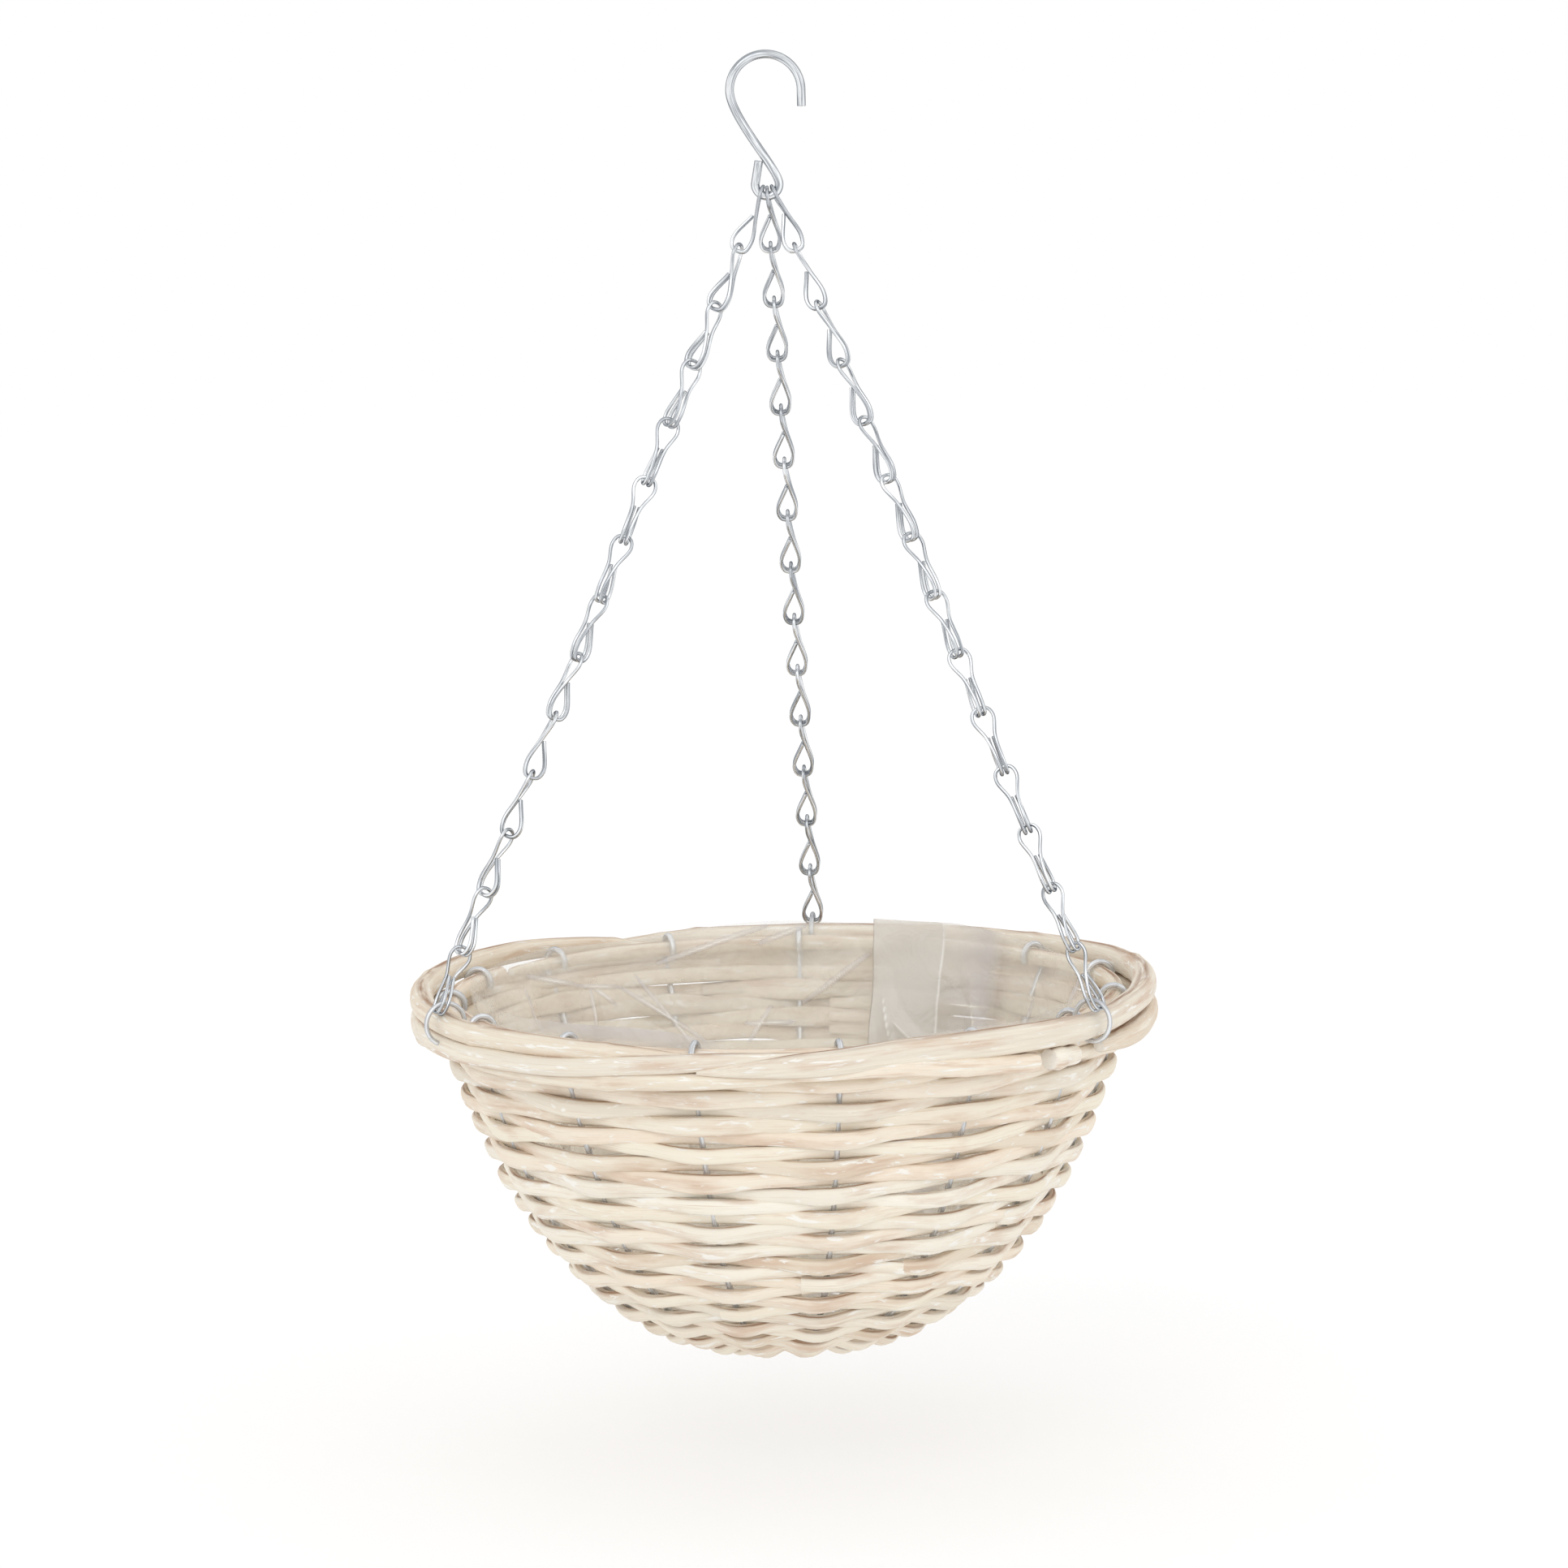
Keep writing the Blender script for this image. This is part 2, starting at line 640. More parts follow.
def make_chains():
    for side in CHAIN_RIBS:
        frames, step = chain_frames(side)
        curve = link_curve(step + link_bite())
        for index, place in enumerate(frames, start=1):
            at = np.array(place)
            path = curve @ at[:3, :3].T + at[:3, 3]
            mesh = Mesh()
            offset = index * LINK_GRAIN_SHIFT
            mesh.tube(path, LINK_WIRE, LINK_WIRE, LINK_SIDES, offset=offset, cap=LINK_CAP)
            body = "basket" if index in (1, LINKS) else f"{side}_link_{index:02d}"
            name = f"{side}_link_wire_{index:02d}"
            mesh.build(name, ZINC, body, "zinc", f"chain_{side}_link_{index:02d}")


def make_rings():
    for side, rib in CHAIN_RIBS.items():
        angle = ring_angle(rib)
        centre = ring_centre(angle)
        radius = RING_INNER_RADIUS + RING_WIRE / 2
        out = around(1.0, angle, 0.0)
        path = []
        for step in range(RING_STEPS + 1):
            turn = RING_START + RING_SWEEP * step / RING_STEPS
            path.append(centre + radius * (math.cos(turn) * out + math.sin(turn) * Z_AXIS))
        mesh = Mesh()
        across = np.tile(np.array(out.cross(Z_AXIS)), (len(path), 1))
        mesh.tube(path, RING_WIRE, RING_WIRE, RING_SIDES, up=across, cap=RING_CAP)
        mesh.build(f"{side}_ring_wire", GALVANISED, f"ring_{side}", "galvanised", f"chain_ring_{side}")


def front_sink(angle):
    """How much lower the curled ribs and the inner rod lie in front."""
    return FRONT_SINK * np.clip(FRONT_SINK_SHARE * np.cos(angle), 0, 1)


def rib_path(angle, radius, depth):
    """Up the bowl, and over the inner rod in a curl."""
    path = [around(r, angle, -RIM_DEPTH - d) for r, d in zip(radius[::-1], depth[::-1])]
    path += [around(rib_radius(d), angle, -RIM_DEPTH - d) for d in RIB_BEND_DEPTHS]
    bend = RIM_RIB_RADIUS - inner_rod_radius()
    for step in range(CANE_STEPS + 1):
        turn = CANE_SWEEP * step / CANE_STEPS
        r = inner_rod_radius() + bend * math.cos(turn)
        height = -RIM_DEPTH - inner_rod_depth() - front_sink(angle) + bend * math.sin(turn)
        path.append(around(r, angle, height))
    return path


def make_frame():
    mesh = Mesh()
    radius, depth, _ = bowl_profile(FLARE_DEPTH, BASE_RING_RADIUS, RIB_STEPS)
    for index in range(RIBS):
        angle = rib_angle(index)
        path = rib_path(angle, radius, depth)
        across = np.tile([math.cos(angle), -math.sin(angle), 0.0], (len(path), 1))
        offset = index * RIB_GRAIN_SHIFT
        mesh.tube(path, RIB_WIRE, RIB_WIRE, RIB_SIDES, up=across, offset=offset, cap=RIB_CAP)
    level = -RIM_DEPTH - bowl_depth(BASE_RING_RADIUS)
    turns = [math.tau * k / BASE_RING_STEPS for k in range(BASE_RING_STEPS)]
    ring = [around(BASE_RING_RADIUS, turn, level) for turn in turns]
    up = np.tile([0.0, 0.0, 1.0], (BASE_RING_STEPS, 1))
    mesh.tube(ring, BASE_RING_WIRE, BASE_RING_WIRE, RIB_SIDES, up=up, closed=True)
    mesh.build("frame_wires", GALVANISED, "basket", "galvanised", "wire_frame")


# Willow

KNOT_LENGTH = 0.0035
KNOT_SIZES = (0.05, 0.13)


def knots(run, count):
    """Small swellings along a rod."""
    swell = np.zeros(len(run))
    for _ in range(count):
        at = RNG.uniform(run[0], run[-1])
        swell += RNG.uniform(*KNOT_SIZES) * np.exp(-(((run - at) / KNOT_LENGTH) ** 2))
    return swell


# Border rods, as stops of angle in degrees, depth, shift outwards and width in mm
BORDER_RODS = {
    "upper": (
        ((337, 8, -3, 4), (326, 4.2, 0, 8), (310, 2.2, 0, 10), (288, 2.8, 0, 11),
         (265, 4.0, 0.4, 11), (242, 6.4, 0.8, 10.5), (226, 6.6, 0.8, 10), (213, 6.6, 0.5, 9),
         (204, 6.7, 0, 6.5), (196, 7.0, -1.0, 3.2)),
        ((193, 13.4, 3.0, 2.6), (186, 12.2, 2.6, 7.5), (176, 10.6, 2.2, 11.5),
         (164, 7.6, 1.4, 12.5), (148, 7.2, 0.6, 13), (135, 7.6, 0.4, 12.5), (123, 7.8, 0, 11.6),
         (108, 5.2, 0, 11.5), (90, 2.6, 0, 11.5), (70, 3.2, 0, 11.5), (50, 4.4, 0, 11),
         (25, 5.2, 0, 11), (0, 5.4, 0, 10), (-20, 5.8, 0.5, 8), (-38, 8, 1.5, 4)),
    ),
    "lower": (
        ((302, 16.6, -1, 7), (285, 15.4, 0, 10.8), (264, 15.2, 0.6, 11), (242, 16.2, 1.0, 10.5),
         (226, 15.4, 1.8, 9.5), (213, 13.8, 2.4, 9), (202, 11.4, 2.6, 8.8), (192, 9.4, 1.8, 8.2),
         (183, 7.8, 0.4, 6), (175, 6.6, -0.8, 2.8)),
        ((240, 22.4, -1.0, 3), (226, 21.4, 0, 6.5), (211, 20, 0.6, 8.5), (197, 18.4, 1.0, 9),
         (187, 17.6, 0.6, 6.5), (177, 17.0, 0, 2.6)),
        ((138.5, 19.0, 1.6, 8.5), (146, 17.6, 1.6, 9), (155, 15.6, 1.8, 9), (165, 13.6, 2.4, 8.4),
         (174, 15.4, 1.4, 5.5), (181, 17.2, 0, 2.4)),
        ((135, 19.4, 1.4, 9.2), (133, 19.4, 1.2, 9.2), (131, 19.5, 0.8, 9.2),
         (128.8, 19.6, 0, 8.8)),
        ((120, 20, -1.6, 6), (112, 19.2, 0, 10.5), (95, 15.8, 0, 12), (75, 15.4, 0, 12.3),
         (45, 17, 0, 12.2), (15, 17.8, 0, 12.4), (-10, 17.8, 0, 12.4), (-35, 17, 0, 12),
         (-55, 16.6, 0.4, 9.6), (-70, 17.6, 1.5, 5)),
    ),
    "inner": (
        ((299, 0, -0.4, 8.4), (280, 0, 0, 8.4), (250, 0, 0, 8.2), (200, 0, 0, 7.6),
         (150, 0, 0, 7.0), (128, 0.4, 0, 4.6)),
        ((124, 0, -0.2, 8.4), (95, 0, 0, 8.4), (40, 0, 0, 8.0), (0, 0, 0, 7.4), (-40, 0, 0, 6.6),
         (-57, 0.4, 0, 4.4)),
    ),
}
BORDER_TONES = {"upper": (0.06, 0.97), "lower": (0.95, 0.12, 0.5, 0.8, 0.02), "inner": (0.55, 0.1)}
BORDER_CURVE_STEPS = 40
BORDER_MOST_THICKNESS = 0.0121
BORDER_KNOTS = 4
BORDER_SECTION = dict(sides=20, cap=0.0006, oval=0.88, bark=1.8)
BORDER_GRAIN_START = 50.0
BORDER_GRAIN_SHIFT = 3.7
# Each wander is a size and the lengths of its waves.
BORDER_RADIUS_WANDER = (0.0005, 0.21, 0.09, 0.05)
BORDER_DEPTH_WANDER = (0.0006, 0.24, 0.11, 0.06)
BORDER_WIDTH_WANDER = (0.03, 0.13, 0.045)


def border_rod(place, stops):
    """The angles, radii, depths, widths and thicknesses along one rod of the border."""
    key = smooth(np.array(stops, float), BORDER_CURVE_STEPS)
    angle = np.radians(key[:, 0])
    run = np.abs(angle - angle[0]) * RIM_RIB_RADIUS
    depth, shift, wide = (key[:, k] / 1000 for k in (1, 2, 3))
    if place == "inner":
        depth = inner_rod_depth() + depth + front_sink(angle)
        radius = inner_rod_radius() + shift
        wide = wide * (1 + wander(run, *BORDER_WIDTH_WANDER) + knots(run, BORDER_KNOTS))
        return angle, radius, depth, wide, np.minimum(wide, INNER_ROD)
    lean = np.array([rib_radius(max(d - BORDER_ROD / 2, 0)) - RIM_RIB_RADIUS for d in depth])
    radius = border_radius() + lean + shift + wander(run, *BORDER_RADIUS_WANDER)
    depth = depth + wander(run, *BORDER_DEPTH_WANDER)
    wide = wide * (1 + wander(run, *BORDER_WIDTH_WANDER) + knots(run, BORDER_KNOTS))
    thick = np.minimum(wide, BORDER_MOST_THICKNESS)
    # The rod's inner edge stays outside the ribs.
    least = RIM_RIB_RADIUS + RIB_WIRE / 2 + lean
    radius = radius + np.maximum(least - (radius - thick / 2), 0)
    return angle, radius, depth, wide, thick


def make_border():
    offset = BORDER_GRAIN_START
    for place, rods in BORDER_RODS.items():
        mesh = Mesh()
        for stops, tone in zip(rods, BORDER_TONES[place]):
            angle, radius, depth, wide, thick = border_rod(place, stops)
            out = outward(angle)
            path = np.column_stack([radius * out[:, 0], radius * out[:, 1], -RIM_DEPTH - depth])
            mesh.tube(path, wide, thick, up=out, tone=tone, offset=offset, **BORDER_SECTION)
            offset += BORDER_GRAIN_SHIFT
        mesh.build(f"border_{place}", WILLOW, "basket", "willow", f"border_rod_{place}")


# The weave. A place on its spiral is counted in ribs from its start.

BOWL_STEPS = 400
PLACE_STEP = 0.1
LANE_MARGIN = 20
LANE_WIDTH = 0.0008
WIDE_BOWL_RADIUS = 0.09
ROD_OVERLAP = 0.75
ROD_TAILS = (0.18, 0.34)
WEAVE_GRAIN_START = 100
WEAVE_GRAIN_SHIFT = 7.3
WEAVE_SECTION = dict(sides=14, cap=0.0004, oval=0.82)
WEAVE_WIDTH = 0.0071
WEAVE_THICKNESS = 0.005
WEAVE_MOST_THICKNESS = 0.0058
WEAVE_SIZES = (0.9, 1.1)
WEAVE_KNOTS = (2, 5)
WEAVE_PLACE_WANDER = (0.1, 0.19, 0.11)
WEAVE_PATH_WANDER = (0.0008, 0.13, 0.07)
WEAVE_WIDTH_WANDER = (0.18, 0.17, 0.09, 0.047)
WEAVE_THICKNESS_WANDER = (0.03, 0.07, 0.035)
WIDTH_PER_PITCH = 1.04
LEAST_WIDTH_PER_PITCH = 1.1
WIDER_AT_RIBS = 0.27
WIDER_FIRST_ROW = 0.08
# Tables of a rod's length, from 0 to 1, and of its width or thickness there
ROD_TAPER = ([0, 0.06, 0.2, 0.8, 1], [0.6, 0.92, 1.0, 1.02, 1.03])
ROD_THINNING = ([0, 0.05, 0.12], [0.5, 0.8, 1.0])
FILLER_WIDTHS = ([0.2, 0.4, 0.8, 1.0], [0.0044, 0.0066, 0.0076, 0.0078])
FILLER_RISES = ([0.2, 0.5, 0.8, 1.0], [0.0032, 0.0030, 0.0020, 0.0004])
PACKING_WIDTHS = ([0, 0.1, 0.3, 0.9, 1], [0.0036, 0.0056, 0.0066, 0.0066, 0.005])
WEAVE_LIFT = 0.0046
FRONT_LIFT = 0.0012
REAR_LIFT = 0.0034
SIDE_LIFT = 0.001
LIFTED_ROWS = 9
LIFT_FADE = 1.3
LIFT_SPREAD_FADE = 0.3
WEAVE_FLATNESS = 1.7
OUTER_WEAVE = 0.0037
INNER_WEAVE = 0.0017
TUCK_DEPTH = 0.0034
TUCK_LENGTH = 0.8
MOST_INWARD = -0.0044
FILLER_START = -11.4
FILLER_END = 0.4
FILLER_MOST_THICKNESS = 0.0056
FILLER_GRAIN = 93.0
PACKING_START = -27.5
PACKING_END = -15.5
PACKING_DEPTH = 0.0172
PACKING_WEAVE = 0.0016
PACKING_MOST_THICKNESS = 0.0052
PACKING_GRAIN = 90.0
PACKING_TONE = 0.6


def make_weave():
    radius, depth, total = bowl_profile(WEAVE_START_DEPTH, WEAVE_END_RADIUS, BOWL_STEPS)
    turns = total / ((WEAVE_TOP_PITCH + WEAVE_BASE_PITCH) / 2)
    steps = int(turns * RIBS)
    lane = RNG.normal(0.0, 1.0, steps + 2 * LANE_MARGIN)
    bowl = (radius, depth, turns, steps)
    for number in range(WEAVE_RODS):
        first = steps * number // WEAVE_RODS
        last = steps * (number + 1) // WEAVE_RODS
        shares = np.linspace(0, 1, BOWL_STEPS + 1)
        middle_radius = np.interp((first + last) / 2 / steps, shares, radius)
        count = 3 if middle_radius > WIDE_BOWL_RADIUS else 2
        cuts = [first + (last - first) * k / count for k in range(count + 1)]
        mesh = Mesh()
        if number == 0:
            add_rod(mesh, FILLER_START, FILLER_END, bowl, lane, FILLER_GRAIN)
            add_packing(mesh)
        for k in range(count):
            start = round(cuts[k]) - ROD_OVERLAP
            end = round(cuts[k + 1]) + RNG.uniform(*ROD_TAILS)
            if number == WEAVE_RODS - 1 and k == count - 1:
                end = last
            grain = WEAVE_GRAIN_START + WEAVE_GRAIN_SHIFT * (number * 4 + k)
            add_rod(mesh, start, end, bowl, lane, grain)
        mesh.build(f"weave_{number + 1:02d}", WILLOW, "basket", "willow", f"weaver_rod_{number + 1:02d}")


def weave_share(place):
    """The share of the bowl's run at a share of the spiral, whose pitch grows downwards."""
    growth = (WEAVE_BASE_PITCH - WEAVE_TOP_PITCH) / (WEAVE_BASE_PITCH + WEAVE_TOP_PITCH)
    return place * (1 - growth + growth * place)


def weave_angle(place):
    return FIRST_RIB + math.tau * place / RIBS


def add_packing(mesh):
    """A rod behind the lower border, over the first row of the weave."""
    place = np.arange(PACKING_START, PACKING_END, PLACE_STEP)
    length = np.linspace(0, 1, len(place))
    wide = np.interp(length, *PACKING_WIDTHS)
    thick = np.minimum(wide, PACKING_MOST_THICKNESS)
    radius = rib_radius(PACKING_DEPTH) + PACKING_WEAVE * np.cos(math.pi * place)
    out = outward(weave_angle(place))
    path = radius[:, None] * out - (RIM_DEPTH + PACKING_DEPTH) * np.array([0.0, 0.0, 1.0])
    mesh.tube(path, wide, thick, up=out, tone=PACKING_TONE, offset=PACKING_GRAIN, **WEAVE_SECTION)


def spiral(place, bowl):
    """The radius, depth and downward direction of the bowl along the spiral."""
    radius, depth, turns, _ = bowl
    share = np.clip(weave_share(np.maximum(place, 0) / (turns * RIBS)), 0, 1) * BOWL_STEPS
    knot = np.arange(BOWL_STEPS + 1)
    down = np.column_stack([np.gradient(radius), np.gradient(depth)])
    down = np.column_stack([np.interp(share, knot, down[:, k]) for k in (0, 1)])
    down /= np.linalg.norm(down, axis=1)[:, None]
    return np.interp(share, knot, radius), np.interp(share, knot, depth), down


def lift_and_pitch(place, angle, steps):
    """How far the upper rows are pushed up against the border, and the rows' pitch with that."""
    front = np.clip(-np.cos(angle), 0, 1) ** 1.5
    rear = np.clip(np.cos(angle) + 0.5, 0, 1)
    sides = np.abs(np.sin(angle)) ** 3
    most_lift = WEAVE_LIFT + FRONT_LIFT * front + REAR_LIFT * rear + SIDE_LIFT * sides
    high = np.clip(1 - np.maximum(place, 0) / RIBS / LIFTED_ROWS, 0, 1)
    pitch = WEAVE_TOP_PITCH + (WEAVE_BASE_PITCH - WEAVE_TOP_PITCH) * np.maximum(place, 0) / steps
    spread = most_lift * LIFT_FADE / LIFTED_ROWS * high**LIFT_SPREAD_FADE
    return most_lift * high**LIFT_FADE, pitch + spread


def rod_sizes(run, row, wave, pitch):
    """The widths and thicknesses along a rod, which starts thin and covers its row's pitch."""
    size = RNG.uniform(*WEAVE_SIZES)
    widest = np.maximum(WEAVE_WIDTH, WIDTH_PER_PITCH * pitch)
    length = np.linspace(0, 1, len(run))
    taper = np.interp(length, *ROD_TAPER)
    thin = np.interp(length, *ROD_THINNING)
    uneven = 1 + WIDER_AT_RIBS * np.abs(wave) ** 3 + wander(run, *WEAVE_WIDTH_WANDER)
    wide = widest * size * taper * uneven
    wide *= 1 + knots(run, RNG.integers(*WEAVE_KNOTS))
    wide = np.maximum(wide, LEAST_WIDTH_PER_PITCH * pitch * taper)
    wide = wide * (1 + WIDER_FIRST_ROW * np.clip(1.5 - row, 0, 1))
    thick = WEAVE_THICKNESS * size * thin * (1 + wander(run, *WEAVE_THICKNESS_WANDER))
    return wide, np.minimum(thick, WEAVE_MOST_THICKNESS)


def add_rod(mesh, start, end, bowl, lane, offset):
    """One willow rod of the weave, from one place on the spiral to another."""
    place = np.arange(start, end, PLACE_STEP)
    radius, depth, down = spiral(place, bowl)
    angle = weave_angle(place)
    run = np.concatenate([[0], np.cumsum(radius[1:] * np.diff(angle))])
    wave = np.cos(math.pi * (place + wander(run, *WEAVE_PLACE_WANDER)))
    row = np.maximum(place, 0) / RIBS
    lift, pitch = lift_and_pitch(place, angle, bowl[3])
    wide, thick = rod_sizes(run, row, wave, pitch)
    # Out before the ribs and in behind them, with its start tucked in
    flat = np.sign(wave) * np.abs(wave) ** WEAVE_FLATNESS
    begun = np.clip((place - start) / TUCK_LENGTH, 0, 1)
    aside = np.where(flat > 0, OUTER_WEAVE, INNER_WEAVE) * flat - TUCK_DEPTH * (1 - begun) ** 2
    aside = np.maximum(aside, MOST_INWARD)
    along = np.interp(place, np.arange(len(lane)) - LANE_MARGIN, lane) * LANE_WIDTH
    along = along + wander(run, *WEAVE_PATH_WANDER)
    along = along * np.clip(row * 2, 0.3, 1) - lift
    if start <= FILLER_START:
        # Before the spiral's start, a rod fills the wedge between the border and the first row.
        grown = 1 + place / RIBS
        wide = np.interp(grown, *FILLER_WIDTHS)
        thick = np.minimum(wide * 1.05, FILLER_MOST_THICKNESS)
        along = -lift - np.interp(grown, *FILLER_RISES)
    radial = radius + aside * down[:, 1] + along * down[:, 0]
    height = -RIM_DEPTH - (depth - aside * down[:, 0] + along * down[:, 1])
    out = outward(angle)
    path = np.column_stack([radial * out[:, 0], radial * out[:, 1], height])
    up = np.column_stack([down[:, 1] * out[:, 0], down[:, 1] * out[:, 1], down[:, 0]])
    mesh.tube(path, wide, thick, up=up, tone=RNG.random(), offset=offset, **WEAVE_SECTION)


# Film liner, whose girth is its length per radian where its creases are laid out flat

COLUMNS = 600
ROWS = 136
NECK_ROWS = 16
UPPER_ROWS = 0.6
UPPER_RUN = 0.33
UPPER_COLUMNS = (0.36, 0.66)
REAR_RIGHT = math.radians(95)
REAR_LEFT = math.radians(68)
BAG_FOOT_RADIUS = 0.004
BAG_LEAST_RADIUS = 0.0006
WEAVE_TO_FILM = 0.0012
CURLS_TO_FILM = 0.0009
FOLD_START = math.radians(18)
FOLD_END = math.radians(33)
FOLD_SPAN = FOLD_END - FOLD_START
FOLD_EASE = 0.02
FOLD_FADE = 0.3
FOLD_THICKNESS = 0.0016
WAVES = 26
WAVE_HEIGHT = 0.0022
GIRTH = 0.15
FINE_CREASE = 0.001
WIDE_CREASE = 0.0026
FINE_CREASE_RUN = 0.08
FINE_CREASE_COSINE = 0.43
TENT_WIDTH = 0.007
EDGE_STEEPNESS = 9
EDGE_LIFT = 0.0022
EDGE_WAVES = ((0.0018, 3, 1.0), (0.0012, 7, 2.0))
PLEAT_LIFT = 0.0035
FRONT_DROP = 0.0085
FRONT_DROP_SHARE = -1.4
FOOT_LIFT = 0.004
LOOSE_EDGE = 213
LOOSE_EDGE_WIDTH = 23
LOOSE_EDGE_RISE = 0.0062
EDGE_LEAN_ANGLE = 214
EDGE_LEAN_WIDTH = 18
EDGE_LEAN = 0.006
SEAM_WIDTH = 0.008
# How milky the film is at its foot, pleat, edge, loose edge, seam and creases
FOOT_MILK = 0.3
PLEAT_MILK = 0.6
EDGE_MILK = 0.12
LOOSE_MILK = 0.25
SEAM_MILK = 0.9
CREASE_MILK = 0.9


def length_along(radius, depth):
    return np.concatenate([[0], np.cumsum(np.hypot(np.diff(radius), np.diff(depth)))])


def bag_profile():
    """Radii, depths and run down the bag, and how level the normal of its wall is at the top."""
    inset = RIB_WIRE / 2 + CLEARANCE + WEAVE_ROD + WEAVE_TO_FILM
    radius, depth, _ = bowl_profile(FLARE_DEPTH, BAG_FOOT_RADIUS, ROWS)
    down = np.column_stack([np.gradient(radius), np.gradient(depth)])
    down /= np.linalg.norm(down, axis=1)[:, None]
    radius = radius - inset * down[:, 1]
    depth = depth + inset * down[:, 0]
    neck = inner_rod_radius() - (RIM_RIB_RADIUS - inner_rod_radius()) - RIB_WIRE / 2 - CURLS_TO_FILM
    top = np.linspace(0, 1, NECK_ROWS + 1)[:-1]
    radius = np.concatenate([neck + (radius[0] - neck) * top**1.5, radius])
    depth = np.concatenate([top * depth[0], depth])
    radius = np.maximum(radius, 0.0)
    # Rows lie closer together high up, where the bag shows.
    run = length_along(radius, depth)
    places = np.interp(np.linspace(0, 1, len(radius)), [0, UPPER_ROWS, 1], [0, UPPER_RUN, 1])
    radius, depth = (np.interp(run[-1] * places, run, values) for values in (radius, depth))
    return radius, depth, length_along(radius, depth), down[0, 1]


def bag_columns():
    """Each column's angle and layer; the pleat runs forward, back and forward again."""
    turns = FOLD_END + FOLD_SPAN * np.arange(3)
    span = math.tau + 2 * FOLD_SPAN
    # Columns lie closer together in the rear, where the bag shows.
    u = np.interp(
        np.arange(COLUMNS) / COLUMNS,
        [0, *UPPER_COLUMNS, 1],
        [0, REAR_RIGHT, span - REAR_LEFT, span],
    )
    folded = np.interp(u, [0.0, *turns], [0.0, FOLD_END, FOLD_START, FOLD_END])
    angle = np.where(u < turns[2], folded, u - 2 * FOLD_SPAN)
    stops = [0, turns[0] - FOLD_EASE, turns[0] + FOLD_EASE, turns[1] - FOLD_EASE]
    stops += [turns[1] + FOLD_EASE, turns[2] + FOLD_FADE]
    return angle, np.interp(u, stops, [0, 0, 1, 1, 2, 0])


def bag_waves(columns, share):
    """Broad random waves of the film."""
    wave = np.zeros(columns.shape)
    for _ in range(WAVES):
        count = RNG.integers(2, 17)
        reach = RNG.uniform(10, 60)
        phase = RNG.uniform(0, math.tau, 2)
        wave += np.sin(count * columns + phase[0] + reach * share) * RNG.uniform(0.4, 1.0) / 7
    return wave


def bag_creases(columns, run):
    """How sharply each point is creased, and how high its crease stands off the wall."""
    crease, tent = np.zeros(columns.shape), np.zeros(columns.shape)
    around_bag = (columns % math.tau) * GIRTH
    down_bag = run[:, None] + np.zeros((1, COLUMNS))
    near = (np.cos(columns) > FINE_CREASE_COSINE) & (down_bag < FINE_CREASE_RUN)
    width = np.where(near, FINE_CREASE, WIDE_CREASE)
    half_girth = math.pi * GIRTH
    for a0, d0, a1, d1, size in CREASES:
        start = np.array([math.radians(a0) * GIRTH, d0 / 1000])
        end = np.array([math.radians(a1) * GIRTH, d1 / 1000])
        line = end - start
        px = (around_bag - start[0] + half_girth) % (math.tau * GIRTH) - half_girth
        py = down_bag - start[1]
        t = np.clip((px * line[0] + py * line[1]) / (line @ line), 0, 1)
        gap = np.hypot(px - t * line[0], py - t * line[1])
        fade = np.sin(math.pi * np.clip(t, 0.04, 0.96)) ** 0.5
        tent = np.maximum(tent, size / 1000 * fade * np.clip(1 - gap / TENT_WIDTH, 0, 1))
        crease = np.maximum(crease, fade * np.clip(1.25 - gap / width, 0, 1) * CREASE_MILK)
    return crease, tent


def loose_edge(columns):
    """1 where the film's edge stands up loose at the front left, falling to 0 beside it."""
    return np.exp(-(((np.degrees(columns) - LOOSE_EDGE) / LOOSE_EDGE_WIDTH) ** 4))


def bag_points(columns, share, radius, depth, level, tent, fold):
    """The film's points, row by row."""
    wave = bag_waves(columns, share)
    inward = WAVE_HEIGHT * (1 + wave) * np.clip(share * 12, 0.25, 1) + tent + fold * FOLD_THICKNESS
    r = np.maximum(radius[:, None] - inward * level, BAG_LEAST_RADIUS)
    lift = np.full(columns.shape, EDGE_LIFT)
    for height, count, phase in EDGE_WAVES:
        lift += height * np.sin(count * columns + phase)
    front = np.clip(FRONT_DROP_SHARE * np.cos(columns), 0, 1)
    lift += PLEAT_LIFT * np.clip(fold, 0, 1) - FRONT_DROP * front
    lift += LOOSE_EDGE_RISE * loose_edge(columns)
    at_edge = np.clip(1 - share * EDGE_STEEPNESS, 0, 1)
    at_foot = np.clip(share * 2 - 1, 0, 1)
    z = -RIM_DEPTH - depth[:, None] + lift * at_edge + np.minimum(inward, FOOT_LIFT) * at_foot
    leaning = np.exp(-(((np.degrees(columns) - EDGE_LEAN_ANGLE) / EDGE_LEAN_WIDTH) ** 2))
    r = r - EDGE_LEAN * leaning * at_edge
    return np.stack([r * np.sin(columns), r * np.cos(columns), z], axis=-1)


def bag_faces(rows):
    """Faces between the rows, and a fan that closes the foot."""
    faces = []
    for i in range(rows):
        for j in range(COLUMNS):
            k = (j + 1) % COLUMNS
            this, below = i * COLUMNS, (i + 1) * COLUMNS
            if i < rows - 1:
                faces.append((this + j, below + j, below + k, this + k))
            else:
                faces.append((this + j, below, this + k))
    return faces


